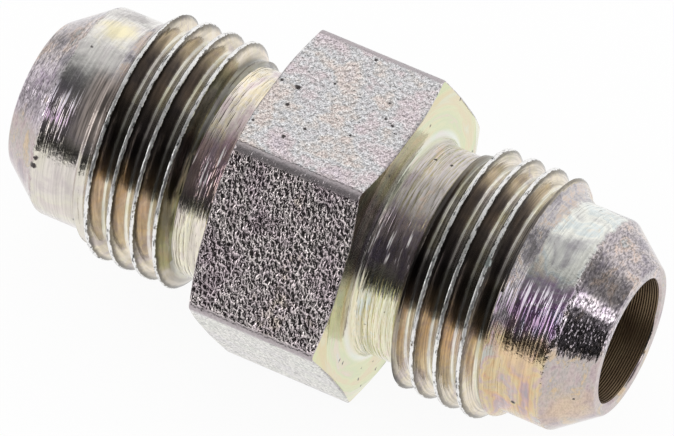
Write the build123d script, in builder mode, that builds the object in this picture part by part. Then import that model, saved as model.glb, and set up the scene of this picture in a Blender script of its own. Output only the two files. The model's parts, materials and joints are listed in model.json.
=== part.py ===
from build123d import *
import math
import os

# Double nipple turned from one hexagon bar, bored along X, with a flat of the hexagon up.
# Lengths are in millimetres and angles in degrees.

# Hexagon
hex_across_flats = 16.9
hex_length = 8.2
hex_edge_r = 0.4
hex_chamfer_deg = 17.0
# The flat ring on each end of the hexagon reaches this far past the flats
end_ring_reach = 0.12

# Right-hand unified thread, 18 turns to the inch
thread_major_d = 14.25
thread_pitch = 1.411
thread_length = 6.25
flank_half_deg = 30.0
crest_width = thread_pitch / 8
root_width = thread_pitch / 6
# The thread's ends are chamfered, steeply beside the neck and evenly towards the nose
neck_chamfer_deg = 65.0
nose_chamfer_deg = 45.0
# Where the groove of each end starts around the bore, turned from +Y towards +Z
right_thread_start_deg = 116.5
left_thread_start_deg = -24.7

# Relief neck between the hexagon and the thread
neck_length = 2.65
neck_relief = 0.16
neck_fillet_r = 0.8

# Plain nose and flared-tube seat past the thread
nose_length = 2.64
nose_relief = 0.16
seat_half_deg = 37.0
tip_wall = 0.72

# Bore
bore_d = 7.2
mouth_chamfer = 0.1

# Radii that follow from the sizes above
flank_slope = math.tan(math.radians(flank_half_deg))
groove_half = (thread_pitch - crest_width) / 2
root_half = root_width / 2
root_depth = (groove_half - root_half) / flank_slope
thread_r = thread_major_d / 2
root_r = thread_r - root_depth
neck_r = root_r - neck_relief
nose_r = root_r - nose_relief
bore_r = bore_d / 2
tip_r = bore_r + tip_wall
end_ring_r = hex_across_flats / 2 + end_ring_reach
# The cone that turns off the hexagon's corners is drawn out to here, clear of them
corner_cone_r = hex_across_flats

# Stations along one end, from the middle of the hexagon outwards
hex_face_x = hex_length / 2
corner_cone_x = hex_face_x - (corner_cone_r - end_ring_r) * math.tan(math.radians(hex_chamfer_deg))
thread_start_x = hex_face_x + neck_length
thread_end_x = thread_start_x + thread_length
seat_start_x = thread_end_x + nose_length
tip_x = seat_start_x + (nose_r - tip_r) / math.tan(math.radians(seat_half_deg))

# The groove starts half a turn before the thread and runs out half a turn past it,
# in a blank that is a turn longer at each end
groove_start_x = thread_start_x - thread_pitch / 2
groove_run = thread_length + thread_pitch
blank_start_x = groove_start_x - thread_pitch
blank_length = groove_run + 2 * thread_pitch

# The groove's outline and the thread's chamfers are drawn this far past the crests
crest_overlap = crest_width / 2
groove_mouth_half = groove_half + crest_overlap * flank_slope
outline_r = thread_r + crest_overlap
inner_chamfer_x = thread_start_x + (outline_r - neck_r) / math.tan(math.radians(neck_chamfer_deg))
outer_chamfer_x = thread_end_x - (outline_r - nose_r) / math.tan(math.radians(nose_chamfer_deg))

# Thread groove, its outline swept along a helix
with BuildPart() as thread_groove:
    with BuildLine() as groove_path:
        Helix(pitch=thread_pitch, height=groove_run, radius=thread_r)
    with BuildSketch(Plane.XZ):
        with BuildLine():
            Polyline(
                (outline_r, -groove_mouth_half),
                (root_r, -root_half),
                (root_r, root_half),
                (outline_r, groove_mouth_half),
                close=True,
            )
        make_face()
    sweep(path=groove_path.edges()[0], is_frenet=True)

# One end of the fitting, standing up from the middle of the hexagon
with BuildPart() as threaded_end:
    # Thread, cut in a plain blank that is then trimmed and chamfered at both ends
    with BuildSketch(Plane.XY.offset(blank_start_x)):
        Circle(thread_r)
    extrude(amount=blank_length)
    add(Pos(0, 0, groove_start_x) * thread_groove.part, mode=Mode.SUBTRACT)
    with BuildSketch(Plane.XZ):
        with BuildLine():
            Polyline(
                (0, thread_start_x),
                (neck_r, thread_start_x),
                (outline_r, inner_chamfer_x),
                (outline_r, outer_chamfer_x),
                (nose_r, thread_end_x),
                (0, thread_end_x),
                close=True,
            )
        make_face()
    revolve(axis=Axis.Z, mode=Mode.INTERSECT)

    # Neck with its fillet, core under the thread, nose and seat
    with BuildSketch(Plane.XZ):
        with BuildLine():
            Polyline((0, 0), (neck_r + neck_fillet_r, 0), (neck_r + neck_fillet_r, hex_face_x))
            # A quarter circle, written as a curve pulled to the corner that it rounds
            Bezier(
                (neck_r + neck_fillet_r, hex_face_x),
                (neck_r, hex_face_x),
                (neck_r, hex_face_x + neck_fillet_r),
                weights=(1, math.sqrt(0.5), 1),
            )
            Polyline(
                (neck_r, hex_face_x + neck_fillet_r),
                (neck_r, thread_start_x),
                (nose_r, thread_end_x),
                (nose_r, seat_start_x),
                (tip_r, tip_x),
                (0, tip_x),
                (0, 0),
            )
        make_face()
    revolve(axis=Axis.Z)

with BuildPart() as nipple_body:
    # Hexagon with its long edges rounded and its end corners turned off
    with BuildSketch(Plane.YZ.offset(-hex_face_x)):
        RegularPolygon(hex_across_flats / 2, 6, major_radius=False)
    extrude(amount=hex_length)
    fillet(nipple_body.edges().filter_by(Axis.X), hex_edge_r)
    with BuildSketch(Plane.XY):
        with BuildLine():
            Polyline(
                (hex_face_x, 0),
                (hex_face_x, end_ring_r),
                (corner_cone_x, corner_cone_r),
                (-corner_cone_x, corner_cone_r),
                (-hex_face_x, end_ring_r),
                (-hex_face_x, 0),
                close=True,
            )
        make_face()
    revolve(axis=Axis.X, mode=Mode.INTERSECT)

    # The same end on both sides, turned round and not mirrored, so both threads are right-handed
    for side, start_deg in ((1, right_thread_start_deg), (-1, left_thread_start_deg)):
        start = math.radians(start_deg)
        outward = Plane(origin=(0, 0, 0), x_dir=(0, math.cos(start), math.sin(start)), z_dir=(side, 0, 0))
        add(outward.location * threaded_end.part)

    # Bore from end to end, each mouth broken by a small chamfer
    with BuildSketch(Plane.YZ.offset(-tip_x)):
        Circle(bore_r)
    extrude(amount=2 * tip_x, mode=Mode.SUBTRACT)
    tips = nipple_body.faces().filter_by(Axis.X).sort_by(Axis.X)
    chamfer([tips[end].inner_wires()[0].edges()[0] for end in (0, -1)], mouth_chamfer)

nipple_body.part.label = "nipple_body"
os.makedirs("parts", exist_ok=True)
export_step(nipple_body.part, "parts/nipple_body.step")
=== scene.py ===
"""Looks of a hydraulic double nipple: plated steel body, pale floor and a small photo studio."""

import json
import math

import bpy
import numpy as np
from mathutils import Matrix, Vector


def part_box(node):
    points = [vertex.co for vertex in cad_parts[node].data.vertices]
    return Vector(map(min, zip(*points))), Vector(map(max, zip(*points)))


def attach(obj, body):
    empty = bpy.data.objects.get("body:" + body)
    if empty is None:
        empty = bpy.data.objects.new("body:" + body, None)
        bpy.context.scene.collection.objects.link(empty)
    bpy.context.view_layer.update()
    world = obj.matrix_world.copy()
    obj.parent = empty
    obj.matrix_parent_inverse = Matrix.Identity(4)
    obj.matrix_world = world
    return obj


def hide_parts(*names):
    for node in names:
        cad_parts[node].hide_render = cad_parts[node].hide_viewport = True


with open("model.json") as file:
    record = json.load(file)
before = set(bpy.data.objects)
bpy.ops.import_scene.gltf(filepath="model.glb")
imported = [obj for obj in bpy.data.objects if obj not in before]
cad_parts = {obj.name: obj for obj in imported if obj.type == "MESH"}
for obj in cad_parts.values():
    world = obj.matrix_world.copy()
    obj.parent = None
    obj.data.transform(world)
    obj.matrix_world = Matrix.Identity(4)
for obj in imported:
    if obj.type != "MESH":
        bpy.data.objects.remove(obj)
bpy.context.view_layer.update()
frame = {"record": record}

# Lengths in this script are in millimetres; MM turns them into the scene's metres
MM = 0.001
MOUNTS = {mount["name"]: mount for mount in frame["record"]["mounts"]}


def mount_size(name, key):
    return MOUNTS[name]["dims"][key]


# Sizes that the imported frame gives
BODY_LOW, BODY_HIGH = (Vector(corner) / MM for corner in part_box("nipple_body"))
TIP_X = BODY_HIGH.x
FLAT_R = BODY_HIGH.z
BORE_R = mount_size("through_bore", "r_mm")
THREAD_R = mount_size("right_thread", "r_mm")
NOSE_R = mount_size("right_nose", "r_mm")
NOSE_LENGTH = mount_size("right_nose", "length_mm")
THREAD_MID_X = MOUNTS["right_thread"]["pos_m"][0] / MM
THREAD_START = THREAD_MID_X - mount_size("right_thread", "length_mm") / 2
THREAD_END = THREAD_MID_X + mount_size("right_thread", "length_mm") / 2

# Sizes that repeat the CAD model
HEX_HALF = 4.1
HEX_EDGE_R = 0.4
HEX_CHAMFER = math.radians(17)
END_RING_R = FLAT_R + 0.12
NECK_R = NOSE_R
FILLET_R = 0.8
PITCH = 1.411
CREST_HALF = PITCH / 16
FLANK_SLOPE = 1 / math.tan(math.radians(30))
# Rise of the thread's chamfers, beside the neck and towards the nose
NECK_CHAMFER_RISE = math.tan(math.radians(65))
NOSE_CHAMFER_RISE = math.tan(math.radians(45))
TIP_R = BORE_R + 0.72
MOUTH_CHAMFER = 0.1
SEAT_START = THREAD_END + NOSE_LENGTH
# A crest of each thread crosses the half-plane at this angle at this place along X
CREST_ANGLE = math.radians(128.9)
RIGHT_CREST_X = 8.21
LEFT_CREST_X = -8.97

# Where the hexagon's long edges start to round, out from the axis
CORNER_R = math.hypot(FLAT_R, (FLAT_R - HEX_EDGE_R) * math.tan(math.radians(30)))

# Rounding that only the visual mesh has
ROOT_ROUND = 0.2037
HEX_BREAK = 0.09
TIP_BREAK = 0.14
SEAT_BREAK = 0.14
MOUTH_BREAK = 0.03
RUNOUT_SOFTNESS = 0.03


def smooth_min(a, b, softness):
    """The smaller of two heights, with a rounded change between them."""
    gap = np.maximum(softness - np.abs(a - b), 0) / softness
    return np.minimum(a, b) - gap * gap * softness / 4


# Mesh: columns around the bore, and rows along the outline of a half section

CORNER_HALF = math.radians(1.2)
CORNER_STEPS = 6
SIDE_STEPS = 42


def column_angles():
    """Angles of the columns, closer together at the six rounded corners."""
    corner = np.linspace(-CORNER_HALF, CORNER_HALF, CORNER_STEPS, endpoint=False)
    side = np.linspace(CORNER_HALF, math.pi / 3 - CORNER_HALF, SIDE_STEPS, endpoint=False)
    sector = np.concatenate([corner, side])
    return np.concatenate([sector + k * math.pi / 3 for k in range(6)])


def hex_radius(angle):
    """Distance from the axis to the hexagon with its rounded corners, whose flats lie across Z."""
    off_flat = abs(angle % (math.pi / 3) - math.pi / 6)
    centre = (FLAT_R - HEX_EDGE_R) / math.cos(math.pi / 6)
    if off_flat < math.atan2(centre / 2, FLAT_R):
        return FLAT_R / math.cos(off_flat)
    off_corner = math.pi / 6 - off_flat
    return centre * math.cos(off_corner) + math.sqrt(HEX_EDGE_R**2 - (centre * math.sin(off_corner)) ** 2)


def bend(start, corner, end, steps):
    """Points of a rounded corner, without its first point."""
    t = np.linspace(0, 1, steps + 1)[1:, None]
    start, corner, end = (np.asarray(p, float) for p in (start, corner, end))
    return list((1 - t) ** 2 * start + 2 * t * (1 - t) * corner + t**2 * end)


def toward(start, end, length):
    """Point that lies a length away from start, on the way to end."""
    start, end = np.asarray(start, float), np.asarray(end, float)
    return start + (end - start) * length / np.linalg.norm(end - start)


def run(start, end, steps, support=0.04):
    """Points from start to end, without the first: close to both ends, evenly between."""
    start, end = np.asarray(start, float), np.asarray(end, float)
    inner_start, inner_end = toward(start, end, support), toward(end, start, support)
    t = np.linspace(0, 1, steps + 1)[:, None]
    return list(inner_start + (inner_end - inner_start) * t) + [end]


# Steps between the rows of the hexagon's end face, corner cone and flats
FACE_STEPS, CONE_STEPS, FLAT_STEPS = 5, 2, 17
# Rows of the end face and corner cone, which are turned: the foot, then two more than the steps of each
FACE_ROWS = 1 + (FACE_STEPS + 2) + (CONE_STEPS + 2)
# The outer rows of a short run lie this close to its ends
SHORT_SUPPORT = 0.03
# The end face stops at least this far inside the flats' broken edge
RING_GAP = 0.05


def hex_half_rows(angle):
    """Half section of the hexagon at one angle, from the neck fillet's foot to the middle of a flat."""
    h = hex_radius(angle)
    foot = (HEX_HALF, NECK_R + FILLET_R)
    ring = (HEX_HALF, min(END_RING_R, h - HEX_BREAK - RING_GAP))
    corner = np.array((HEX_HALF - max(h - END_RING_R, 0) * math.tan(HEX_CHAMFER), h))
    inner = toward(corner, ring, HEX_BREAK)
    outer = corner - (HEX_BREAK, 0)
    rows = [np.array(foot)]
    rows += run(foot, ring, FACE_STEPS)
    rows += run(ring, inner, CONE_STEPS, SHORT_SUPPORT)
    rows += bend(inner, corner, outer, 4)
    rows += run(outer, (0, h), FLAT_STEPS)
    return rows


def end_inner_rows():
    """Fillet and neck of one end, from the fillet's foot to the thread."""
    turns = [math.pi / 2 * k / 8 for k in range(1, 9)]
    fillet = [(1 - math.cos(turn), 1 - math.sin(turn)) for turn in turns]
    rows = [np.array((HEX_HALF + FILLET_R * out, NECK_R + FILLET_R * down)) for out, down in fillet]
    return rows + run(rows[-1], (THREAD_START, NECK_R), 5)


def end_outer_rows():
    """Nose, seat, tip ring and bore mouth of one end, from the thread outwards."""
    nose_end, tip = (SEAT_START, NOSE_R), (TIP_X, TIP_R)
    mouth_out, mouth_in = (TIP_X, BORE_R + MOUTH_CHAMFER), (TIP_X - MOUTH_CHAMFER, BORE_R)
    thread_foot = (THREAD_END, NOSE_R)
    before_seat = toward(nose_end, thread_foot, SEAT_BREAK)
    after_seat = toward(nose_end, tip, SEAT_BREAK)
    before_tip = toward(tip, after_seat, TIP_BREAK)
    after_tip = toward(tip, mouth_out, TIP_BREAK)
    before_mouth = toward(mouth_out, after_tip, MOUTH_BREAK)
    rows = run(thread_foot, before_seat, 6)
    rows += bend(before_seat, nose_end, after_seat, 4)
    rows += run(after_seat, before_tip, 7)
    rows += bend(before_tip, tip, after_tip, 4)
    rows += run(after_tip, before_mouth, 2, SHORT_SUPPORT)
    rows += bend(before_mouth, mouth_out, toward(mouth_out, mouth_in, MOUTH_BREAK), 2)
    rows += bend(rows[-1], mouth_in, (TIP_X - MOUTH_CHAMFER - MOUTH_BREAK, BORE_R), 3)
    return rows


CREST_SOFTNESS = 0.04
# Distances from a crest's middle at which the thread has a row, on both sides of it
ROOT_HALF = ROOT_ROUND * math.cos(math.radians(30))
FLANK_END = PITCH / 2 - ROOT_HALF
THREAD_ROWS = (0.055, CREST_HALF, CREST_HALF + 0.03, 0.25, 0.39, FLANK_END, FLANK_END + 0.09)
ROOT_TOP_R = THREAD_R - (FLANK_END - CREST_HALF) * FLANK_SLOPE
PHASES = sorted([0.0, 0.5] + [sign * d / PITCH % 1 for d in THREAD_ROWS for sign in (1, -1)])


def thread_height(offset):
    """Radius of the thread at a distance along X from the nearest crest's middle."""
    distance = np.abs(offset)
    flank = THREAD_R - (distance - CREST_HALF) * FLANK_SLOPE
    crest = smooth_min(np.full_like(flank, THREAD_R), flank, CREST_SOFTNESS)
    from_root = PITCH / 2 - distance
    apex = THREAD_R - (PITCH / 2 - CREST_HALF) * FLANK_SLOPE
    inside = np.maximum(ROOT_ROUND**2 - from_root**2, 0)
    root = apex + 2 * ROOT_ROUND - np.sqrt(inside)
    return np.where(from_root < ROOT_HALF, root, crest)


def envelope(x):
    """Radius of the chamfered barrel that the thread is cut in."""
    out = np.abs(x)
    inner = NECK_R + (out - THREAD_START) * NECK_CHAMFER_RISE
    return np.minimum(inner, NOSE_R + (THREAD_END - out) * NOSE_CHAMFER_RISE)


# The last stretch of the thread shares the looks of the nose
NOSE_LOOK = 0.8


class CrestWear:
    """Random height between -1 and 1 that runs along each thread."""

    def __init__(self, seed, turns=8, per_turn=90):
        self.per_turn = per_turn
        self.values = np.random.default_rng(seed).uniform(-1, 1, turns * per_turn)

    def at(self, along):
        place = np.asarray(along) * self.per_turn
        low = np.floor(place).astype(int)
        share = place - low
        n = len(self.values)
        return self.values[low % n] * (1 - share) + self.values[(low + 1) % n] * share


FINE_WEAR, FINE_WEAR_SHARE = CrestWear(11), 0.6
COARSE_WEAR, COARSE_WEAR_SHARE = CrestWear(12, per_turn=17), 0.5
COARSE_WEAR_START = 3
# Mean height of the worn crests, and what all of it is scaled by
WEAR_LEVEL = -0.35
CREST_WEAR = 0.022
# A thread's rows keep this far from its two ends
THREAD_END_GAP = 0.025


def thread_column(crest_x, low, high, angle):
    """Rows of a thread at one angle, between two places along X: labels, places, radii and kinds."""
    first = crest_x + PITCH * (angle - CREST_ANGLE) / (2 * math.pi)
    labels, xs, offsets, along = [], [], [], []
    for turn in range(math.floor((low - first) / PITCH) - 1, math.ceil((high - first) / PITCH) + 1):
        for index, phase in enumerate(PHASES):
            x = first + PITCH * (turn + phase)
            if low + THREAD_END_GAP < x < high - THREAD_END_GAP:
                labels.append(turn * len(PHASES) + index)
                xs.append(x)
                offsets.append((phase - round(phase)) * PITCH)
                along.append(turn + round(phase) + angle / (2 * math.pi))
    xs, offsets, along = np.array(xs), np.array(offsets), np.array(along)
    crest = np.clip(1 - np.abs(offsets) / (2 * CREST_HALF), 0, 1)
    coarse_wear = COARSE_WEAR_SHARE * COARSE_WEAR.at(along + COARSE_WEAR_START)
    wear = FINE_WEAR_SHARE * FINE_WEAR.at(along) + coarse_wear + WEAR_LEVEL
    radii = thread_height(offsets) + crest * CREST_WEAR * wear
    kinds = np.where(np.abs(xs) > THREAD_END - NOSE_LOOK, TURNED, THREAD)
    return labels, xs, smooth_min(radii, envelope(xs), RUNOUT_SOFTNESS), kinds


# Kinds of surface, in the order of the body's material slots
FLAT, TURNED, THREAD, BORE = range(4)
# Zones of a section: a thread's labels lie around its zone's number times the one below, and those of
# other rows halfway to the next
LEFT_ROWS, LEFT_THREAD, MIDDLE_ROWS, RIGHT_THREAD, RIGHT_ROWS, BORE_ROWS = 0, 2, 3, 5, 6, 7
ZONE_LABELS = 10**6
BORE_STEPS = 12


def ring_label(order, zone):
    return zone * ZONE_LABELS + ZONE_LABELS // 2 + order


def section(angle):
    """Closed section of the body at one angle: (label, x, radius, kind), with labels that only rise."""
    inner, outer, hexagon = end_inner_rows(), end_outer_rows(), hex_half_rows(angle)
    left = [(-x, r) for x, r in reversed(outer)] + [(-THREAD_END, NOSE_R)]
    left_neck = [(-x, r) for x, r in reversed(inner)]
    left_hex = [(-x, r) for x, r in hexagon]
    right_hex = [(x, r) for x, r in reversed(hexagon)][1:]
    right = [(THREAD_END, NOSE_R)] + list(outer)
    bore = [(x, BORE_R) for x in np.linspace(right[-1][0], left[0][0], BORE_STEPS + 1)[1:-1]]
    rows = []

    def ring(points, zone, kinds):
        for order, ((x, r), kind) in enumerate(zip(points, kinds)):
            rows.append((ring_label(order, zone), x, r, kind))

    def thread(crest_x, low, high, zone):
        for label, x, r, kind in zip(*thread_column(crest_x, low, high, angle)):
            rows.append((zone * ZONE_LABELS + label, x, r, int(kind)))

    ring(left, LEFT_ROWS, [TURNED] * len(left))
    thread(LEFT_CREST_X, -THREAD_END, -THREAD_START, LEFT_THREAD)
    middle = left_neck + left_hex + right_hex + inner
    kinds = [TURNED] * (len(left_neck) + FACE_ROWS - 1) + [FLAT] * 2 * (len(left_hex) - FACE_ROWS)
    kinds += [TURNED] * (FACE_ROWS + len(inner))
    ring(middle, MIDDLE_ROWS, kinds)
    thread(RIGHT_CREST_X, THREAD_START, THREAD_END, RIGHT_THREAD)
    ring(right, RIGHT_ROWS, [TURNED] * (len(right) - 1) + [BORE])
    ring(bore, BORE_ROWS, [BORE] * len(bore))
    return rows


def shift_threads(rows):
    """The same section one full turn on, where each thread row has the label of the row before it."""
    return [
        (label - len(PHASES) if in_thread(label) else label, x, r, kind)
        for label, x, r, kind in rows
    ]


def in_thread(label):
    """Whether a label is a thread row's."""
    return any(abs(label / ZONE_LABELS - zone) < 0.25 for zone in (LEFT_THREAD, RIGHT_THREAD))


def body_mesh():
    """Watertight mesh of the body: sections side by side, joined where their labels match."""
    angles = column_angles()
    sections = [section(angle) for angle in angles]
    verts, starts = [], []
    for angle, rows in zip(angles, sections):
        starts.append(len(verts))
        c, s = math.cos(angle), math.sin(angle)
        verts.extend((x * MM, r * c * MM, r * s * MM) for _, x, r, _ in rows)
    faces, kinds = [], []
    for column, rows in enumerate(sections):
        following = (column + 1) % len(sections)
        other = shift_threads(sections[following]) if following == 0 else sections[following]
        join_sections(rows, starts[column], other, starts[following], faces, kinds)
    mesh = bpy.data.meshes.new("nipple_surface")
    mesh.from_pydata(verts, [], faces)
    mesh.polygons.foreach_set("material_index", kinds)
    mesh.shade_smooth()
    mesh.validate()
    mesh.update()
    return mesh


def join_sections(left, left_start, right, right_start, faces, kinds):
    """Faces between two neighbouring sections, closed from the last row to the first."""
    i = j = 0
    n, m = len(left), len(right)
    while i < n or j < m:
        next_left = left[i + 1][0] if i + 1 < n else math.inf
        next_right = right[j + 1][0] if j + 1 < m else math.inf
        a, b = left_start + i, right_start + j
        kinds.append(left[i][3])
        if next_left == next_right:
            faces.append((a, b, right_start + (j + 1) % m, left_start + (i + 1) % n))
            i, j = i + 1, j + 1
        elif next_left < next_right:
            faces.append((a, b, left_start + i + 1))
            i += 1
        else:
            faces.append((a, b, right_start + j + 1))
            j += 1
        if i == n or j == m:
            break


# Materials


class Nodes:
    """Short calls that add and link shader nodes."""

    def __init__(self, tree):
        self.tree = tree
        tree.nodes.clear()

    def feed(self, socket, value):
        if isinstance(value, bpy.types.NodeSocket):
            self.tree.links.new(value, socket)
        else:
            socket.default_value = value

    def add(self, kind, inputs=None, **settings):
        node = self.tree.nodes.new(kind)
        for key, value in settings.items():
            setattr(node, key, value)
        for key, value in (inputs or {}).items():
            self.feed(node.inputs[key], value)
        return node

    def scaled(self, vector, x, y, z):
        node = self.add("ShaderNodeVectorMath", {0: vector, 1: (x, y, z)}, operation="MULTIPLY")
        return node.outputs[0]

    def noise(self, vector, scale=1.0, detail=2.0, roughness=0.5, distortion=0.0):
        inputs = {"Vector": vector, "Scale": scale, "Detail": detail, "Roughness": roughness}
        inputs["Distortion"] = distortion
        return self.add("ShaderNodeTexNoise", inputs).outputs["Fac"]

    def ramp(self, value, stops):
        node = self.add("ShaderNodeValToRGB", {"Fac": value})
        elements = node.color_ramp.elements
        for index, (place, *colour) in enumerate(stops):
            stop = elements[index] if index < 2 else elements.new(place)
            stop.position = place
            stop.color = (*colour, 1)
        return node.outputs["Color"]

    def grey_ramp(self, value, stops):
        return self.ramp(value, [(place, level, level, level) for place, level in stops])

    def mix(self, share, a, b, blend="MIX"):
        node = self.add("ShaderNodeMix", data_type="RGBA", blend_type=blend)
        self.feed(node.inputs[0], share)
        for socket, colour in ((node.inputs[6], a), (node.inputs[7], b)):
            self.feed(socket, (*colour, 1) if isinstance(colour, tuple) else colour)
        return node.outputs[2]

    def math(self, operation, a, b=0.0):
        return self.add("ShaderNodeMath", {0: a, 1: b}, operation=operation).outputs[0]

    def plus(self, a, b):
        return self.math("ADD", a, b)

    def minus(self, a, b):
        return self.math("SUBTRACT", a, b)

    def times(self, first, *others):
        for other in others:
            first = self.math("MULTIPLY", first, other)
        return first

    def largest(self, a, b):
        return self.math("MAXIMUM", a, b)

    def rest(self, share):
        return self.minus(1.0, share)

    def swing(self, texture, size):
        """A texture between 0 and 1, moved to lie around 0 and scaled."""
        return self.times(self.minus(texture, 0.5), size)

    def step(self, value, low, high, below=0.0, above=1.0):
        """Smooth change from one level to another, as a value rises from low to high."""
        inputs = {"Value": value, "From Min": low, "From Max": high, "To Min": below, "To Max": above}
        return self.add("ShaderNodeMapRange", inputs, interpolation_type="SMOOTHSTEP").outputs["Result"]

    def fall(self, value, low, high):
        """Smooth change from 1 to 0, as a value rises from low to high."""
        return self.step(value, low, high, 1, 0)

    def blend(self, share, outside, inside):
        """Smooth change from one level to another, as a share rises from 0 to 1."""
        return self.step(share, 0, 1, outside, inside)

    def bump(self, height, depth):
        inputs = {"Height": height, "Distance": depth * MM, "Strength": 1.0}
        return self.add("ShaderNodeBump", inputs).outputs["Normal"]


def new_material(name):
    material = bpy.data.materials.new(name)
    material.use_nodes = True
    return material, Nodes(material.node_tree)


def millimetres(nodes):
    """Object coordinates in millimetres."""
    place = nodes.add("ShaderNodeTexCoord").outputs["Object"]
    return nodes.scaled(place, 1 / MM, 1 / MM, 1 / MM)


def finish_steel(nodes, colour, roughness, normal, metallic=1.0):
    inputs = {"Base Color": colour, "Metallic": metallic, "Roughness": roughness, "Normal": normal}
    surface = nodes.add("ShaderNodeBsdfPrincipled", inputs)
    nodes.add("ShaderNodeOutputMaterial", {"Surface": surface.outputs[0]})


# Places along the two ends lie this far apart in the textures, so the ends don't repeat each other
SIDE_SHIFT = 40.0


class Place:
    """Sockets that tell where on the part a point is, in millimetres."""

    def __init__(self, nodes):
        self.nodes = nodes
        self.point = millimetres(nodes)
        axes = nodes.add("ShaderNodeSeparateXYZ", {0: self.point}).outputs
        self.x, self.y, self.z = axes["X"], axes["Y"], axes["Z"]
        self.out = nodes.math("ABSOLUTE", self.x)
        flat = nodes.scaled(self.point, 0, 1, 1)
        self.radius = nodes.add("ShaderNodeVectorMath", {0: flat}, operation="LENGTH").outputs["Value"]
        # How far a point lies towards the back and towards the top, as shares of its radius
        self.back = nodes.math("DIVIDE", self.y, self.radius)
        self.up = nodes.math("DIVIDE", self.z, self.radius)
        # Distance along the turned outline, with the two ends of the part kept apart
        side = nodes.times(nodes.math("SIGN", self.x), SIDE_SHIFT)
        along = nodes.plus(nodes.minus(self.out, self.radius), side)
        self.turned = nodes.add("ShaderNodeCombineXYZ", {"X": along, "Y": self.y, "Z": self.z}).outputs[0]

    def ring_noise(self, along, around, detail=2, roughness=0.5, distortion=0.0):
        """Noise drawn out around the axis, from its cycles in a millimetre along and around."""
        vector = self.nodes.scaled(self.turned, along, around, around)
        return self.nodes.noise(vector, 1, detail, roughness, distortion)


# Film tints of each stretch, from thin to thick: a level of the noise, then red, green and blue.
# A turned stretch has three zones: low, facing the front, and top. Their tints are painted light
# and shade: lit and shaded copies of one film, set by which way each zone faces in the studio.
NECK_TINTS = (
    (
        (0.34, 0.76, 0.64, 0.57), (0.44, 0.80, 0.75, 0.58), (0.52, 0.79, 0.78, 0.60),
        (0.60, 0.82, 0.75, 0.58), (0.70, 0.74, 0.77, 0.70),
    ),
    (
        (0.34, 0.32, 0.26, 0.38), (0.44, 0.45, 0.37, 0.41), (0.53, 0.50, 0.42, 0.42),
        (0.62, 0.36, 0.30, 0.41), (0.72, 0.48, 0.43, 0.40),
    ),
    (
        (0.34, 0.54, 0.46, 0.49), (0.42, 0.63, 0.57, 0.56), (0.50, 0.67, 0.62, 0.60),
        (0.57, 0.70, 0.64, 0.59), (0.64, 0.76, 0.62, 0.52), (0.74, 0.62, 0.54, 0.54),
    ),
)
LEFT_NECK_TINTS = (
    (
        (0.34, 0.78, 0.70, 0.65), (0.46, 0.83, 0.77, 0.66), (0.56, 0.86, 0.82, 0.64),
        (0.70, 0.80, 0.76, 0.68),
    ),
    (
        (0.34, 0.60, 0.42, 0.48), (0.46, 0.74, 0.54, 0.50), (0.56, 0.70, 0.52, 0.56),
        (0.68, 0.62, 0.48, 0.56),
    ),
    (
        (0.34, 0.80, 0.66, 0.66), (0.44, 0.94, 0.86, 0.78), (0.52, 0.96, 0.84, 0.60),
        (0.60, 0.96, 0.90, 0.78), (0.70, 0.86, 0.76, 0.72),
    ),
)
NOSE_TINTS = (
    (
        (0.34, 0.46, 0.40, 0.42), (0.42, 0.62, 0.44, 0.42), (0.48, 0.72, 0.50, 0.30),
        (0.54, 0.70, 0.58, 0.36), (0.60, 0.62, 0.47, 0.44), (0.67, 0.54, 0.54, 0.50),
    ),
    (
        (0.34, 0.42, 0.24, 0.46), (0.44, 0.60, 0.40, 0.62), (0.52, 0.72, 0.64, 0.74),
        (0.60, 0.52, 0.30, 0.56), (0.72, 0.52, 0.50, 0.68),
    ),
    (
        (0.34, 0.50, 0.48, 0.50), (0.42, 0.76, 0.76, 0.73), (0.50, 0.93, 0.93, 0.86),
        (0.58, 0.74, 0.80, 0.80), (0.66, 0.92, 0.84, 0.72),
    ),
)
LEFT_NOSE_TINTS = (
    (
        (0.34, 0.66, 0.60, 0.58), (0.45, 0.73, 0.68, 0.63), (0.56, 0.76, 0.72, 0.62),
        (0.70, 0.72, 0.65, 0.61),
    ),
    (
        (0.34, 0.50, 0.42, 0.52), (0.46, 0.70, 0.61, 0.66), (0.56, 0.66, 0.58, 0.56),
        (0.70, 0.54, 0.45, 0.54),
    ),
    (
        (0.34, 0.50, 0.47, 0.46), (0.43, 0.76, 0.73, 0.71), (0.52, 0.88, 0.86, 0.82),
        (0.61, 0.84, 0.80, 0.78), (0.70, 0.70, 0.66, 0.65),
    ),
)
CONE_TINTS = (
    (
        (0.34, 0.42, 0.35, 0.38), (0.42, 0.52, 0.42, 0.43), (0.50, 0.58, 0.49, 0.47),
        (0.58, 0.50, 0.46, 0.44), (0.66, 0.64, 0.50, 0.36),
    ),
    (
        (0.36, 0.50, 0.42, 0.50), (0.48, 0.68, 0.61, 0.66), (0.60, 0.58, 0.51, 0.56),
        (0.70, 0.68, 0.57, 0.52),
    ),
    (
        (0.34, 0.38, 0.34, 0.38), (0.43, 0.50, 0.45, 0.47), (0.52, 0.59, 0.53, 0.53),
        (0.60, 0.66, 0.53, 0.47), (0.70, 0.52, 0.52, 0.52),
    ),
)
LAST_CREST_TINTS = (
    (0.34, 0.30, 0.28, 0.29), (0.43, 0.46, 0.43, 0.46), (0.52, 0.62, 0.58, 0.57),
    (0.60, 0.68, 0.56, 0.48), (0.70, 0.54, 0.52, 0.60),
)
FACE_TINTS = (
    (0.34, 0.74, 0.73, 0.55), (0.43, 0.76, 0.66, 0.44), (0.50, 0.73, 0.73, 0.47),
    (0.57, 0.66, 0.71, 0.46), (0.65, 0.76, 0.66, 0.52), (0.75, 0.66, 0.73, 0.70),
)
# Tints of the flats below, at the front and on top: painted light and shade, lit and shaded copies of one
# film
FLAT_LOW_TINTS = ((0.34, 0.66, 0.62, 0.62), (0.50, 0.72, 0.69, 0.63), (0.66, 0.70, 0.70, 0.62))
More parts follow.
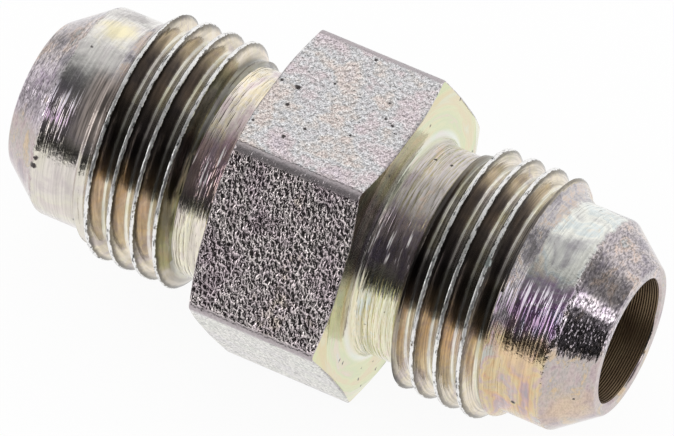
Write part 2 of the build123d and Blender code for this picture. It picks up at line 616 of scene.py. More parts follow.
FLAT_FRONT_TINTS = (
    (0.32, 0.56, 0.46, 0.50), (0.43, 0.70, 0.61, 0.63), (0.52, 0.76, 0.69, 0.68),
    (0.61, 0.66, 0.57, 0.59), (0.70, 0.76, 0.66, 0.58),
)
FLAT_TOP_TINTS = (
    (0.34, 0.82, 0.73, 0.78), (0.41, 0.88, 0.77, 0.79), (0.47, 0.85, 0.80, 0.81),
    (0.52, 0.82, 0.82, 0.84), (0.57, 0.86, 0.82, 0.80), (0.63, 0.92, 0.80, 0.75),
    (0.70, 0.86, 0.78, 0.77),
)
# Thread flanks: low, rim and top tints are painted light and shade, lit and shaded copies of one film,
# dark on top
FLANK_LOW_TINTS = (
    (0.36, 0.58, 0.48, 0.43), (0.47, 0.76, 0.60, 0.40), (0.57, 0.68, 0.57, 0.48),
    (0.68, 0.84, 0.74, 0.56),
)
FLANK_RIM_TINTS = (
    (0.36, 0.60, 0.52, 0.47), (0.47, 0.74, 0.65, 0.49), (0.57, 0.76, 0.68, 0.58),
    (0.68, 0.76, 0.70, 0.52),
)
FLANK_TOP_TINTS = ((0.36, 0.20, 0.18, 0.18), (0.50, 0.28, 0.25, 0.23), (0.64, 0.34, 0.29, 0.25))
ROOT_HIGHLIGHT_TINTS = ((0.36, 0.70, 0.64, 0.60), (0.50, 0.80, 0.77, 0.68), (0.64, 0.78, 0.74, 0.56))
BORE_TINTS = ((0.35, 0.15, 0.10, 0.06), (0.65, 0.23, 0.17, 0.10))
CREST_TINT = (0.95, 0.94, 0.93)
PIT_TINT = (0.07, 0.06, 0.06)
EDGE_TINT = (0.22, 0.20, 0.20)
CORNER_SHADE_TINT = (0.42, 0.375, 0.39)
GLINT_TINT = (0.84, 0.80, 0.80)
NOSE_GLINT_TINT = (0.95, 0.88, 0.97)
LOW_GLINT_TINT = (0.78, 0.54, 0.78)
MATT_FILM_AND_LIGHT = (0.42, 0.36, 0.33)
FILLET_HIGHLIGHT_TINT = (0.84, 0.88, 0.92)
FACE_SHADE = (0.36, 0.33, 0.40)
# How far some of these tints cover the film
FILLET_HIGHLIGHT_SHARE, EDGE_SHARE, CORNER_SHADE_SHARE = 0.5, 0.6, 0.85
SEAT_MARK_SHARE, DARK_PATCH_SHARE = 0.6, 0.75

# Pits seen on the part, each a place on it and a size; those of the top flat have no z
TOP_PITS = (
    (-2.82, 0.41, 0.17), (-3.83, 0.46, 0.09), (-2.72, -0.96, 0.11), (-0.14, 4.29, 0.10),
    (2.91, 0.48, 0.09), (2.36, 0.76, 0.08), (-1.05, -2.06, 0.09), (1.28, -1.25, 0.08),
    (-3.78, -2.88, 0.09), (-1.22, 1.64, 0.07),
)
LOW_PITS = ((-15.5, -5.95, 1.33, 0.17), (-15.4, -5.82, 1.83, 0.13), (14.08, -5.97, -1.23, 0.12))
# Patches and a nick seen on the part: place, size and, for the patches, softness
YELLOW_MARK, YELLOW_TINT = ((-14.4, 1.27, 5.96), 0.9, 0.8), (0.95, 0.87, 0.60)
DARK_PATCH_MARK, DARK_PATCH_TINT = ((-14.78, -2.69, 5.46), 1.1, 0.7), (0.20, 0.20, 0.20)
ORANGE_MARK, ORANGE_TINT = ((14.1, -5.65, 2.29), 1.0, 0.8), (0.76, 0.57, 0.37)
SEAT_MARK = ((16.91, -5.04, -1.03), 1.3, 0.8)
NICK_MARK, NICK_TINT = ((10.95, -3.69, 6.06), 0.26), (0.42, 0.46, 0.45)

# Where one look gives way to another: each starts (FROM) or ends (TO) between two places.
# First places along X, from the middle of the part outwards
RIGHT_END_FROM = (-1.0, 1.0)
FACE_TO = (HEX_HALF + 0.05, HEX_HALF + 0.5)
NOSE_FROM = (THREAD_END - 1.2, THREAD_END - 1.0)
LAST_CREST_TO = (THREAD_END - 0.15, THREAD_END + 0.15)
OUTER_NOSE_FROM = (THREAD_END + 0.4, THREAD_END + 1.4)
CONE_FROM = (SEAT_START - 0.12, SEAT_START + 0.1)
# Then distances from the seat's edge, and radii of the painted highlight, a pale ring in the neck's
# fillet
SEAT_EDGE_TO = (0.05, 0.4)
FILLET_HIGHLIGHT_FROM, FILLET_HIGHLIGHT_TO = (NECK_R + 0.15, NECK_R + 0.4), (NECK_R + 0.45, NECK_R + 0.8)
# Then shares of the radius, towards the top (UP) and towards the back (BACK)
UPPER_UP = (0.46, 0.66)
FRONT_END_BACK, NOSE_FRONT_END_BACK, FRONT_END_SOFTNESS = -0.38, -0.45, 0.1
FACING_BACK = (-0.38, -0.18)
DOTTED_UP, DOTTED_BACK = (0.5, 0.6), (-0.46, -0.38)
GLINT_LINES_UP, GLINT_LINES_BACK = (0.60, 0.67), (-0.58, -0.46)
CONE_MATT_BACK, CONE_MATT_END_BACK = (-0.50, -0.34), (-0.1, 0.15)
SHADE_BACK, SHADE_END_BACK, SHADE_UP = (-0.96, -0.84), (-0.50, -0.30), (0.2, 0.4)
GLINT_UP = (0.66, 0.80)
LOW_FLANK_UP, HIGH_FLANK_UP, FAR_FLANK_BACK = (-0.2, 0.3), (0.45, 0.68), (0.0, 0.4)
NEAR_NECK_UP = (0.0, 0.68)
# Then places on the flats, along Z, X and out from the axis
TOP_FLAT_FROM, LOW_FLATS_TO = (FLAT_R - 0.3, FLAT_R - 0.05), (-0.6, 0.4)
FLAT_END_FROM = (HEX_HALF - 0.14, HEX_HALF - 0.02)
CORNER_FROM = (CORNER_R - 0.08, CORNER_R - 0.01)
# Last, radii of the thread, and where its first turn beside the neck ends
CREST_FROM, CREST_SIDE_SHADE = (THREAD_R - 0.06, THREAD_R - 0.03), (THREAD_R - 0.34, THREAD_R - 0.10)
ROOT_TO = (ROOT_TOP_R - 0.10, ROOT_TOP_R + 0.02)
SECOND_TURN_FROM = (THREAD_START + PITCH / 3, THREAD_START + PITCH / 2)
# How far these places wander: along X, around the axis for film and painted glint lines, and on flats and
# crests
OUT_RAG, FILM_RAG, GLINT_LINES_RAG, FLAT_END_RAG, CORNER_RAG, CREST_RAG = 0.7, 0.4, 0.3, 0.5, 0.16, 0.24

# Patches of each film: cycles in a millimetre along and around, and how much fine spots break them up
NECK_PATCHES = (0.7, 0.25, 0.3)
NOSE_PATCHES = (0.5, 0.4, 0.12)
LAST_CREST_PATCHES = (0.9, 0.7, 0.4)
CONE_PATCHES = (0.7, 0.6, 0.3)
FACE_PATCHES = (0.7, 0.12, 0.06)
THREAD_PATCHES = (0.5, 0.4, 0.3)
BORE_PATCHES = (0.7, 0.25, 0.3)

# Noises: cycles in a millimetre, detail and roughness
OUT_NOISE, ZONE_NOISE, SPOT_NOISE, PIT_NOISE = (1.6, 3, 0.6), (0.8, 3, 0.6), (3.1, 3, 0.7), (9.0, 2)
FLAT_PATCHES, FLAT_SPOTS, FINE_GRAIN = (0.42, 3, 0.55), (4.0, 3, 0.7), (11.0, 2, 0.6)
DENTS, WAVER = (2.4, 2, 0.5), (0.6, 2, 0.5)
FLAT_SPOT_SHARE = 0.16
# Tool marks and grain: cycles in a millimetre along and around, or along each axis
RINGS, DASHES, BROAD_RINGS = (6.5, 0.4), (8.0, 0.4), (2.6, 0.2)
SPECKS, DOTS = (7.0, 4.5), (6.5, 4.0)
THREAD_RAG, THREAD_RINGS, CREST_SPOTS, THREAD_GRAIN = (6.0, 2.0), (7.0, 0.3), (8.0, 1.6), (7.0, 1.4)
GRAIN = (6.0, 3.2, 3.2)
# Levels of these textures between which a line or dot starts
NECK_LINES, NOSE_LINES, DOTS_FROM, SPECKS_FROM = (0.57, 0.66), (0.54, 0.58), (0.62, 0.72), (0.35, 0.65)
# Distance between the tool rings of the bore, and how far they waver, in radians
BORE_FEED, BORE_WAVER = 0.14, 3.0

# Levels to which a texture darkens and lightens the film over it
RING_SHADES, DASH_SHADES, LINED_SHADES = (0.80, 1.05), (0.86, 1.04), (0.35, 1.35)
CONE_SHADES, DOTTED_SHADES, UPPER_CONE_SHADES = (0.84, 1.04), (0.30, 1.15), (0.45, 1.25)
FINE_SHADES, TOP_FINE_SHADES = (0.56, 1.16), (0.56, 1.18)
GRAIN_SHADES, TOP_GRAIN_SHADES = (0.52, 1.16), (0.80, 1.08)
FLANK_SHADES, BORE_SHADES = (0.7, 1.1), (0.86, 1.16)
UPPER_CONE_SHARE = 0.7
# Levels of the painted shade on the flanks near their crests, and on the first turn beside the neck
HIGH_FLANK_SHADE, FIRST_TURN_SHADE, LOW_FIRST_TURN_SHADE = 0.3, 0.4, 0.62

# Depths of the bump
NECK_RING_DEPTH, FACE_RING_DEPTH, NOSE_RING_DEPTH, CONE_RING_DEPTH = 0.12, 0.012, 0.08, 0.004
BROAD_DEPTH, DENT_DEPTH, PIT_DEPTH, FLAT_PIT_DEPTH = 0.02, 0.06, -0.02, -0.06
NECK_SPECK_DEPTH, NOSE_SPECK_DEPTH, CONE_SPECK_LESS = 0.004, 0.016, -0.015
DOT_DEPTH, FAINT_DOT_DEPTH = 0.06, 0.003
GRAIN_DEPTH, TOP_GRAIN_DEPTH, FINE_DEPTH = 0.145, 0.155, 0.016
FLANK_ROUGH_DEPTH, CREST_ROUGH_DEPTH = 0.006, 0.045
# Share of the grain's depth that is left at the hexagon's rounded edges
CORNER_GRAIN = 0.35
BORE_RING_DEPTH = 0.02

# Scattered pits: spacing, share of the places that have one, and size
TURNED_PITS, FLAT_PITS = (1.0, 0.15, 0.22), (1.0, 0.35, 0.30)

# Roughness, and how far a surface is metal or scatters light (matt)
TURNED_ROUGHNESS, SEAT_SMOOTHER = (0.08, 0.15), 0.06
FLAT_ROUGHNESS, THREAD_ROUGHNESS, BORE_ROUGHNESS = (0.06, 0.10), (0.15, 0.32), 0.35
CORNER_METAL, BORE_METAL = 0.74, 0.8
CONE_MATT, NECK_MATT, NOSE_MATT, LINED_MATT, GLINT_LINES_MATT = (0.02, 0.20), 0.09, 0.08, 0.45, 0.8


def film_drift(nodes, place, along, around, speckle):
    """Thickness of the film, in patches drawn out around the axis and broken up by finer spots."""
    patches = place.ring_noise(along, around, 3, 0.6, 0.5)
    return nodes.plus(patches, nodes.swing(nodes.noise(place.point, *SPOT_NOISE), speckle))


def film(nodes, place, tints, patches):
    return nodes.ramp(film_drift(nodes, place, *patches), tints)


def lit_and_shaded_film(nodes, place, right_zones, left_zones, patches, front_end=FRONT_END_BACK):
    """Tint of a turned stretch, from the low, front and top zones of its two ends: painted light and
    shade, as lit and shaded copies of its film.
    """
    drift = film_drift(nodes, place, *patches)
    tints = [nodes.ramp(drift, zone) for zone in right_zones]
    if left_zones is not right_zones:
        at_right = nodes.step(place.x, *RIGHT_END_FROM)
        left = [nodes.ramp(drift, zone) for zone in left_zones]
        tints = [nodes.mix(at_right, a, b) for a, b in zip(left, tints)]
    low, front, top = tints
    rag = nodes.swing(nodes.noise(place.point, *ZONE_NOISE), FILM_RAG)
    back, up = nodes.plus(place.back, rag), nodes.plus(place.up, rag)
    on_top = nodes.step(back, front_end - FRONT_END_SOFTNESS, front_end + FRONT_END_SOFTNESS)
    return nodes.mix(nodes.step(up, *UPPER_UP), low, nodes.mix(on_top, front, top))


def pits(nodes, place, spacing, share, size):
    """Mask of scattered dark pits."""
    inputs = {"Vector": place.point, "Scale": 1 / spacing, "Randomness": 1.0}
    cell = nodes.add("ShaderNodeTexVoronoi", inputs).outputs
    pick = nodes.add("ShaderNodeSeparateColor", {0: cell["Color"]}).outputs["Red"]
    rag = nodes.swing(nodes.noise(place.point, *PIT_NOISE), size / spacing)
    near = nodes.plus(cell["Distance"], rag)
    hole = nodes.fall(near, 0.3 * size / spacing, 0.5 * size / spacing)
    return nodes.times(hole, nodes.math("LESS_THAN", pick, share))


def mark(nodes, place, centre, size, softness=0.35):
    """Mask of one ragged mark around a place on the surface."""
    inputs = {0: place.point, 1: centre}
    distance = nodes.add("ShaderNodeVectorMath", inputs, operation="DISTANCE").outputs["Value"]
    rag = nodes.swing(nodes.noise(place.point, 1.1 / size, 3, 0.6), 2.2 * size)
    return nodes.fall(nodes.plus(distance, rag), size * (1 - softness), size * (1 + softness))


def with_marks(nodes, place, dark, marks):
    """Mask of pits, with the given ones added."""
    for *centre, size in marks:
        dark = nodes.largest(dark, mark(nodes, place, centre, size))
    return dark


def layered(nodes, *layers):
    """Height made of textures, each with its depth in millimetres."""
    height = 0.0
    for texture, depth in layers:
        height = nodes.plus(height, nodes.times(texture, depth))
    return height


def shaded(nodes, colour, texture, dark, light):
    """Colour darkened and lightened by a fine texture."""
    return nodes.mix(1.0, colour, nodes.grey_ramp(texture, ((0.36, dark), (0.60, light))), "MULTIPLY")


class Turned:
    """Masks and tool marks that the looks of the turned faces share."""

    def __init__(self, nodes, place):
        rag = nodes.swing(nodes.noise(place.point, *OUT_NOISE), OUT_RAG)
        ragged_out = nodes.plus(place.out, rag)
        from_seat_edge = nodes.math("ABSOLUTE", nodes.minus(place.out, SEAT_START))
        self.at_right = nodes.step(place.x, *RIGHT_END_FROM)
        self.upper = nodes.step(place.up, *UPPER_UP)
        self.facing = nodes.times(self.upper, nodes.fall(place.back, *FACING_BACK))
        self.face = nodes.fall(place.out, *FACE_TO)
        self.nose = nodes.step(place.out, *NOSE_FROM)
        self.last_crest = nodes.times(nodes.fall(ragged_out, *LAST_CREST_TO), self.upper)
        self.cone = nodes.step(ragged_out, *CONE_FROM)
        self.seat_edge = nodes.fall(from_seat_edge, *SEAT_EDGE_TO)
        # The right nose is lined all over, the left one only past its first stretch, which is matt; the
        # lined part takes painted glints, and where the matt stretch faces the dark front it gets a matt
        # brown-grey film, painted light in place of its dark reflection
        lined_part = nodes.largest(self.at_right, nodes.step(place.out, *OUTER_NOSE_FROM))
        self.ringed_and_glinting_nose = nodes.times(self.nose, lined_part)
        self.matt_lit_nose = nodes.times(self.nose, nodes.rest(lined_part), self.facing)
        self.dotted = nodes.times(
            nodes.step(place.up, *DOTTED_UP), nodes.fall(place.back, *DOTTED_BACK), self.at_right
        )
        self.rings = place.ring_noise(*RINGS)
        self.dashes = place.ring_noise(*DASHES)
        self.broad = place.ring_noise(*BROAD_RINGS)
        self.speck = place.ring_noise(*SPECKS, 2, 0.6)
        self.dots = nodes.step(place.ring_noise(*DOTS, 1), *DOTS_FROM)
        self.dents = nodes.noise(place.point, *DENTS)


def neck_film(nodes, place, turned):
    tint = lit_and_shaded_film(nodes, place, NECK_TINTS, LEFT_NECK_TINTS, NECK_PATCHES)
    return shaded(nodes, tint, turned.rings, *RING_SHADES)


def nose_film(nodes, place, turned):
    tint = lit_and_shaded_film(nodes, place, NOSE_TINTS, LEFT_NOSE_TINTS, NOSE_PATCHES, NOSE_FRONT_END_BACK)
    tint = nodes.mix(mark(nodes, place, *YELLOW_MARK), tint, YELLOW_TINT)
    tint = nodes.mix(mark(nodes, place, *ORANGE_MARK), tint, ORANGE_TINT)
    crest_tint = film(nodes, place, LAST_CREST_TINTS, LAST_CREST_PATCHES)
    tint = nodes.mix(turned.last_crest, tint, crest_tint)
    return shaded(nodes, tint, turned.dashes, *DASH_SHADES)


def cone_film(nodes, place, turned):
    tint = lit_and_shaded_film(nodes, place, CONE_TINTS, CONE_TINTS, CONE_PATCHES)
    orange = nodes.times(mark(nodes, place, *SEAT_MARK), SEAT_MARK_SHARE)
    tint = shaded(nodes, nodes.mix(orange, tint, ORANGE_TINT), turned.speck, *CONE_SHADES)
    # Painted light and shade in the reflections: the specks darken and lighten the film more where the
    # right cone mirrors the bright panel (dotted), and in its upper part
    tint = nodes.mix(turned.dotted, tint, shaded(nodes, tint, turned.speck, *DOTTED_SHADES))
    speckled = nodes.times(turned.upper, UPPER_CONE_SHARE)
    return nodes.mix(speckled, tint, shaded(nodes, tint, turned.speck, *UPPER_CONE_SHADES))


def face_film(nodes, place, turned):
    """Film of the hexagon's end faces, with a painted highlight as a pale ring in the fillet, and painted
    shade at the front.
    """
    fillet_highlight = nodes.times(nodes.step(place.radius, *FILLET_HIGHLIGHT_FROM), turned.face)
    fillet_highlight = nodes.times(fillet_highlight, nodes.fall(place.radius, *FILLET_HIGHLIGHT_TO))
    tint = film(nodes, place, FACE_TINTS, FACE_PATCHES)
    tint = nodes.mix(nodes.times(fillet_highlight, FILLET_HIGHLIGHT_SHARE), tint, FILLET_HIGHLIGHT_TINT)
    shade = nodes.times(
        nodes.step(place.back, *SHADE_BACK), nodes.fall(place.back, *SHADE_END_BACK),
        nodes.step(place.up, *SHADE_UP),
    )
    return nodes.mix(shade, tint, FACE_SHADE, "MULTIPLY")


def painted_glint_lines(nodes, place, turned):
    """Mask of painted glints: bright lines in the part of the necks and noses that faces the dark front.
    """
    line_end = nodes.plus(place.back, nodes.swing(turned.broad, GLINT_LINES_RAG))
    dark_part = nodes.times(nodes.step(place.up, *GLINT_LINES_UP), nodes.fall(line_end, *GLINT_LINES_BACK))
    glint_part = nodes.times(dark_part, nodes.rest(nodes.largest(turned.cone, turned.face)))
    neck_lines = nodes.times(nodes.step(turned.rings, *NECK_LINES), nodes.rest(turned.nose))
    nose_lines = nodes.times(nodes.step(turned.dashes, *NOSE_LINES), turned.ringed_and_glinting_nose)
    return nodes.times(glint_part, nodes.plus(neck_lines, nose_lines))


def turned_matt(nodes, place, turned, glint_lines):
    """Share of the turned faces' light that is scattered, not mirrored."""
    cone = nodes.times(
        turned.upper, nodes.step(place.back, *CONE_MATT_BACK, *CONE_MATT),
        nodes.fall(place.back, *CONE_MATT_END_BACK),
    )
    other = nodes.times(turned.facing, nodes.blend(turned.nose, NECK_MATT, NOSE_MATT))
    lined = nodes.times(turned.matt_lit_nose, LINED_MATT)
    film_matt = nodes.largest(nodes.mix(turned.cone, other, cone), lined)
    return nodes.largest(nodes.times(glint_lines, GLINT_LINES_MATT), film_matt)


def turned_height(nodes, turned, dark):
    """Rings, dots, dents and pits of the turned faces."""
    neck_rings = nodes.times(
        nodes.rest(turned.nose), nodes.blend(turned.face, NECK_RING_DEPTH, FACE_RING_DEPTH)
    )
    nose_rings = nodes.times(turned.ringed_and_glinting_nose, nodes.blend(turned.cone, NOSE_RING_DEPTH, CONE_RING_DEPTH))
    specks = nodes.plus(
        nodes.blend(turned.nose, NECK_SPECK_DEPTH, NOSE_SPECK_DEPTH),
        nodes.blend(turned.cone, 0, CONE_SPECK_LESS),
    )
    dots = nodes.times(turned.cone, nodes.blend(turned.dotted, FAINT_DOT_DEPTH, DOT_DEPTH))
    dents = nodes.times(turned.seat_edge, DENT_DEPTH)
    return layered(
        nodes, (turned.rings, neck_rings), (turned.dashes, nose_rings), (turned.broad, BROAD_DEPTH),
        (turned.speck, specks), (turned.dots, dots), (turned.dents, dents), (dark, PIT_DEPTH),
    )


def turned_steel():
    """Turned faces: fine rings around the axis, tool marks on the noses, painted glint lines on the necks
    and noses, speckled cones.
    """
    material, nodes = new_material("turned_plated_steel")
    place = Place(nodes)
    turned = Turned(nodes, place)
    colour = nodes.mix(turned.nose, neck_film(nodes, place, turned), nose_film(nodes, place, turned))
    colour = nodes.mix(turned.cone, colour, cone_film(nodes, place, turned))
    colour = nodes.mix(turned.face, colour, face_film(nodes, place, turned))
    dark = with_marks(nodes, place, pits(nodes, place, *TURNED_PITS), LOW_PITS)
    colour = nodes.mix(dark, colour, PIT_TINT)
    # Painted glints: pale lines with less metal, only where the necks and noses face the dark front
    glint_lines = painted_glint_lines(nodes, place, turned)
    nose_glint = nodes.mix(nodes.step(place.up, *GLINT_UP), LOW_GLINT_TINT, NOSE_GLINT_TINT)
    colour = nodes.mix(glint_lines, colour, nodes.mix(turned.nose, GLINT_TINT, nose_glint))
    # A darker patch on the upper left nose
    dark_patch = nodes.times(mark(nodes, place, *DARK_PATCH_MARK), DARK_PATCH_SHARE)
    colour = nodes.mix(dark_patch, colour, DARK_PATCH_TINT)
    # Partly painted light: a matt brown-grey film, put only where the left nose's first stretch faces the
    # dark front
    matt_film_and_light = shaded(nodes, MATT_FILM_AND_LIGHT, turned.dashes, *LINED_SHADES)
    colour = nodes.mix(turned.matt_lit_nose, colour, matt_film_and_light)
    specked = nodes.step(turned.speck, *SPECKS_FROM, *TURNED_ROUGHNESS)
    roughness = nodes.minus(specked, nodes.blend(turned.cone, 0, SEAT_SMOOTHER))
    normal = nodes.bump(turned_height(nodes, turned, dark), 1.0)
    finish_steel(nodes, colour, roughness, normal, nodes.rest(turned_matt(nodes, place, turned, glint_lines)))
    return material


def lit_and_shaded_flat_film(nodes, place, on_top, on_low):
    """Film of the flats, from the top one, those at the front and those below: lit and shaded copies,
    with painted light on the top flat and painted shade on the front ones.
    """
    spots = nodes.swing(nodes.noise(place.point, *FLAT_SPOTS), FLAT_SPOT_SHARE)
    drift = nodes.plus(nodes.noise(place.point, *FLAT_PATCHES), spots)
    zones = (FLAT_LOW_TINTS, FLAT_FRONT_TINTS, FLAT_TOP_TINTS)
    low, front, top = (nodes.ramp(drift, tints) for tints in zones)
    return nodes.mix(on_low, nodes.mix(on_top, front, top), low)


def flat_steel():
    """Hexagon flats: drawn bar with an orange-peel grain and scattered pits."""
    material, nodes = new_material("grained_plated_steel")
    place = Place(nodes)
    on_top = nodes.step(place.z, *TOP_FLAT_FROM)
    on_low = nodes.fall(place.z, *LOW_FLATS_TO)
    grain = nodes.noise(nodes.scaled(place.point, *GRAIN), 1, 1.5, 0.5, 0.3)
    fine = nodes.noise(place.point, *FINE_GRAIN)
    colour = lit_and_shaded_flat_film(nodes, place, on_top, on_low)
    shadings = ((fine, FINE_SHADES, TOP_FINE_SHADES), (grain, GRAIN_SHADES, TOP_GRAIN_SHADES))
    for texture, *shades in shadings:
        other, top = (shaded(nodes, colour, texture, *levels) for levels in shades)
        colour = nodes.mix(on_top, other, top)

    # The ends of the flats are darker, and their rounded long edges smooth, with painted shade there: a
    # grey band
    edge = nodes.plus(place.out, nodes.swing(fine, FLAT_END_RAG))
    colour = nodes.mix(nodes.step(edge, *FLAT_END_FROM, 0, EDGE_SHARE), colour, EDGE_TINT)
    ragged_radius = nodes.plus(place.radius, nodes.swing(grain, CORNER_RAG))
    corner = nodes.step(ragged_radius, *CORNER_FROM)
    colour = nodes.mix(nodes.times(corner, CORNER_SHADE_SHARE), colour, CORNER_SHADE_TINT)
    top_pits = [(x, y, FLAT_R, size) for x, y, size in TOP_PITS]
    dark = with_marks(nodes, place, pits(nodes, place, *FLAT_PITS), top_pits)
    colour = nodes.mix(dark, colour, PIT_TINT)
    depth = nodes.blend(on_top, GRAIN_DEPTH, TOP_GRAIN_DEPTH)
    relief = nodes.times(nodes.blend(corner, 1, CORNER_GRAIN), depth)
    height = layered(nodes, (grain, relief), (fine, FINE_DEPTH), (dark, FLAT_PIT_DEPTH))
    roughness = nodes.blend(on_top, *FLAT_ROUGHNESS)
    metallic = nodes.blend(corner, 1, CORNER_METAL)
    finish_steel(nodes, colour, roughness, nodes.bump(height, 1.0), metallic)
    return material


def lit_and_shaded_flank_film(nodes, place, edge):
    """Film of the thread below its crests, from the radius with its raggedness, with painted light and
    shade: by facing, near the crests and beside the neck, and a painted highlight at the roots.
    """
    drift = film_drift(nodes, place, *THREAD_PATCHES)
    zones = (FLANK_LOW_TINTS, FLANK_RIM_TINTS, FLANK_TOP_TINTS)
    low, rim, top = (nodes.ramp(drift, tints) for tints in zones)
    low = nodes.mix(nodes.step(place.up, *LOW_FLANK_UP), rim, low)
    top = nodes.mix(nodes.step(place.back, *FAR_FLANK_BACK), top, rim)
    tint = nodes.mix(nodes.step(place.up, *HIGH_FLANK_UP), low, top)
    # Painted shade: the flanks darken towards their crests
    crest_side_shade = nodes.step(edge, *CREST_SIDE_SHADE, 1, HIGH_FLANK_SHADE)
    tint = nodes.mix(1.0, tint, crest_side_shade, "MULTIPLY")
    # Painted highlight: the roots are lighter, a bright line along their rounding
    tint = nodes.mix(nodes.fall(edge, *ROOT_TO), tint, nodes.ramp(drift, ROOT_HIGHLIGHT_TINTS))
    # Painted shade: the first turn beside the neck is darker, most of all in its upper part
    first_turn_shade = nodes.step(place.out, *SECOND_TURN_FROM, FIRST_TURN_SHADE, 1)
    neck_side_shade = nodes.largest(first_turn_shade, nodes.step(place.up, *NEAR_NECK_UP, LOW_FIRST_TURN_SHADE, 0))
    return nodes.mix(1.0, tint, neck_side_shade, "MULTIPLY")


def thread_steel():
    """Threads: flanks with a dark film, partly painted shade, a painted highlight at the roots, and
    narrow ragged crests.
    """
    material, nodes = new_material("threaded_plated_steel")
    place = Place(nodes)
    edge = nodes.plus(place.radius, nodes.swing(place.ring_noise(*THREAD_RAG, 3, 0.75), CREST_RAG))
    crest = nodes.step(edge, *CREST_FROM)
    fine = place.ring_noise(*THREAD_RINGS)
    flank = shaded(nodes, lit_and_shaded_flank_film(nodes, place, edge), fine, *FLANK_SHADES)
    spots = nodes.grey_ramp(place.ring_noise(*CREST_SPOTS, 4, 0.75), ((0.36, 0.08), (0.46, 1.0)))
    colour = nodes.mix(crest, flank, nodes.mix(1.0, spots, CREST_TINT, "MULTIPLY"))
    colour = nodes.mix(mark(nodes, place, *NICK_MARK), colour, NICK_TINT)
    rough = place.ring_noise(*THREAD_GRAIN, 3, 0.6)
    rough_depth = nodes.blend(crest, FLANK_ROUGH_DEPTH, CREST_ROUGH_DEPTH)
    normal = nodes.bump(layered(nodes, (fine, FINE_DEPTH), (rough, rough_depth)), 1.0)
    finish_steel(nodes, colour, nodes.blend(crest, *THREAD_ROUGHNESS), normal)
    return material


def bore_steel():
    """Drilled bore: regular fine tool rings and a dark brown colour."""
    material, nodes = new_material("bored_plated_steel")
    place = Place(nodes)
    waver = nodes.times(nodes.noise(place.point, *WAVER), BORE_WAVER)
    turns = nodes.plus(nodes.times(place.x, 2 * math.pi / BORE_FEED), waver)
    rings = nodes.times(nodes.plus(nodes.math("SINE", turns), 1.0), 0.5)
    colour = shaded(nodes, film(nodes, place, BORE_TINTS, BORE_PATCHES), rings, *BORE_SHADES)
    finish_steel(nodes, colour, BORE_ROUGHNESS, nodes.bump(rings, BORE_RING_DEPTH), BORE_METAL)
    return material


def new_object(name, data):
    thing = bpy.data.objects.new(name, data)
    bpy.context.scene.collection.objects.link(thing)
    return thing


def build_body():
    mesh = body_mesh()
    for material in (flat_steel(), turned_steel(), thread_steel(), bore_steel()):
        mesh.materials.append(material)
    body = new_object("nipple_finish", mesh)
    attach(body, "root")
    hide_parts("nipple_body")


# Camera: where the photograph was taken from

CAMERA_AZIMUTH = math.radians(26.37)
CAMERA_ELEVATION = math.radians(47.99)
CAMERA_ROLL = math.radians(2.71)
CAMERA_DISTANCE = 537.8
CAMERA_SHIFT_RIGHT = 0.079
CAMERA_SHIFT_UP = -0.052
SENSOR_WIDTH = 36.0
PHOTO_WIDTH = 674
PIXELS_PER_MM = 18.428


def build_camera():
    az, el, roll = CAMERA_AZIMUTH, CAMERA_ELEVATION, CAMERA_ROLL
    back = Vector((math.sin(az) * math.cos(el), -math.cos(az) * math.cos(el), math.sin(el)))
    level = Vector((math.cos(az), math.sin(az), 0))
    upright = back.cross(level)
    right = math.cos(roll) * level + math.sin(roll) * upright
    up = -math.sin(roll) * level + math.cos(roll) * upright
    data = bpy.data.cameras.new("camera")
    data.sensor_width = SENSOR_WIDTH
    data.lens = SENSOR_WIDTH * PIXELS_PER_MM * CAMERA_DISTANCE / PHOTO_WIDTH
    data.clip_start = 10 * MM
    data.clip_end = 20
    camera = new_object("camera", data)
    place = (back * CAMERA_DISTANCE + right * CAMERA_SHIFT_RIGHT + up * CAMERA_SHIFT_UP) * MM
    turn = Matrix((right, up, back)).transposed().to_4x4()
    camera.matrix_world = Matrix.Translation(place) @ turn
    bpy.context.scene.camera = camera


# Studio: a white floor, and a surround whose bright and dark panels shape the reflections

FLOOR_HALF = 1500.0
# The paper under the part ends here in front of it, and dims to the left between these places
PAPER_FRONT = -98.0
PAPER_EDGE = 6.0
PAPER_DIM = (30.0, 110.0)
PAPER_DIM_LEVEL = 0.45
PAPER_COLOUR = (0.97, 0.97, 0.97, 1)
DARK_LEVEL = 0.03
# Share of the floor that always shows white; the rest takes the shadow
PAPER_GLOW = 0.93
# Brightness of the surround by its angle around X, from the far horizon over the top to the near one
SURROUND_LEVELS = (
    (0, 0.97), (28, 1.0), (40, 0.92), (49, 0.82), (57, 0.62), (70, 0.64),
    (80, 0.56), (90, 0.42), (100, 0.25), (110, 0.17), (127, 0.13), (133, 0.035), (180, 0.03),
)
# Panels: from and to angle around X, from and to angle out of the YZ plane, brightness, softness
PANELS = (
    (122, 190, -90, -46, 2.2, 3),
    (117, 178, 69, 90, 1.5, 3),
    (30, 83, 41, 64, 0.14, 7),
    (88, 112, 50, 70, 1.8, 3),
)


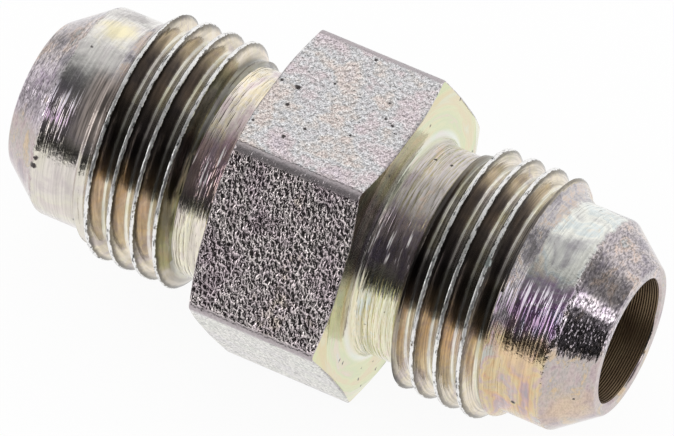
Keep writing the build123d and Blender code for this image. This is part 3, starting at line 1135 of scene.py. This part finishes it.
def white_paper():
    """Floor that stays white to the camera and in reflections, and still takes a soft shadow."""
    material, nodes = new_material("white_paper")
    place = nodes.add("ShaderNodeSeparateXYZ", {0: millimetres(nodes)})
    front = nodes.step(place.outputs["Y"], PAPER_FRONT - PAPER_EDGE, PAPER_FRONT, DARK_LEVEL, 1)
    left = nodes.step(place.outputs["X"], -PAPER_DIM[1], -PAPER_DIM[0], PAPER_DIM_LEVEL, 1)
    path = nodes.add("ShaderNodeLightPath")
    level = nodes.largest(path.outputs["Is Camera Ray"], nodes.times(front, left))
    paper = nodes.add("ShaderNodeBsdfDiffuse", {"Color": PAPER_COLOUR}).outputs[0]
    light = nodes.add("ShaderNodeEmission", {"Color": (1, 1, 1, 1), "Strength": level}).outputs[0]
    seen = nodes.largest(path.outputs["Is Camera Ray"], path.outputs["Is Glossy Ray"])
    share = nodes.times(seen, PAPER_GLOW)
    mixed = nodes.add("ShaderNodeMixShader", {0: share, 1: paper, 2: light}).outputs[0]
    nodes.add("ShaderNodeOutputMaterial", {"Surface": mixed})
    return material


def build_floor():
    mesh = bpy.data.meshes.new("floor")
    z, h = BODY_LOW.z, FLOOR_HALF
    corners = [(-h, -h, z), (h, -h, z), (h, h, z), (-h, h, z)]
    mesh.from_pydata([Vector(corner) * MM for corner in corners], [], [(0, 1, 2, 3)])
    mesh.materials.append(white_paper())
    floor = new_object("floor", mesh)


def build_surround():
    """White world, which reflections see as a studio with bright and dark panels."""
    world = bpy.data.worlds.new("surround")
    bpy.context.scene.world = world
    world.use_nodes = True
    nodes = Nodes(world.node_tree)
    aim = nodes.add("ShaderNodeSeparateXYZ", {0: nodes.add("ShaderNodeTexCoord").outputs["Generated"]})
    around = nodes.math("ARCTAN2", aim.outputs["Z"], aim.outputs["Y"])
    around = nodes.times(around, 180 / math.pi)
    out = nodes.times(nodes.math("ARCSINE", aim.outputs["X"]), 180 / math.pi)
    stops = [(angle / 180, level) for angle, level in SURROUND_LEVELS]
    light = nodes.grey_ramp(nodes.math("DIVIDE", around, 180), stops)
    for around_from, around_to, out_from, out_to, level, soft in PANELS:
        share = nodes.times(
            nodes.step(around, around_from - soft, around_from + soft),
            nodes.fall(around, around_to - soft, around_to + soft),
            nodes.step(out, out_from - soft, out_from + soft),
            nodes.fall(out, out_to - soft, out_to + soft),
        )
        light = nodes.mix(share, light, (level, level, level))
    glossy = nodes.add("ShaderNodeLightPath").outputs["Is Glossy Ray"]
    shown = nodes.mix(glossy, (1, 1, 1), light)
    background = nodes.add("ShaderNodeBackground", {"Color": shown, "Strength": 1.0})
    nodes.add("ShaderNodeOutputWorld", {"Surface": background.outputs[0]})


bpy.context.scene.view_settings.view_transform = "Standard"
build_body()
build_floor()
build_surround()
build_camera()
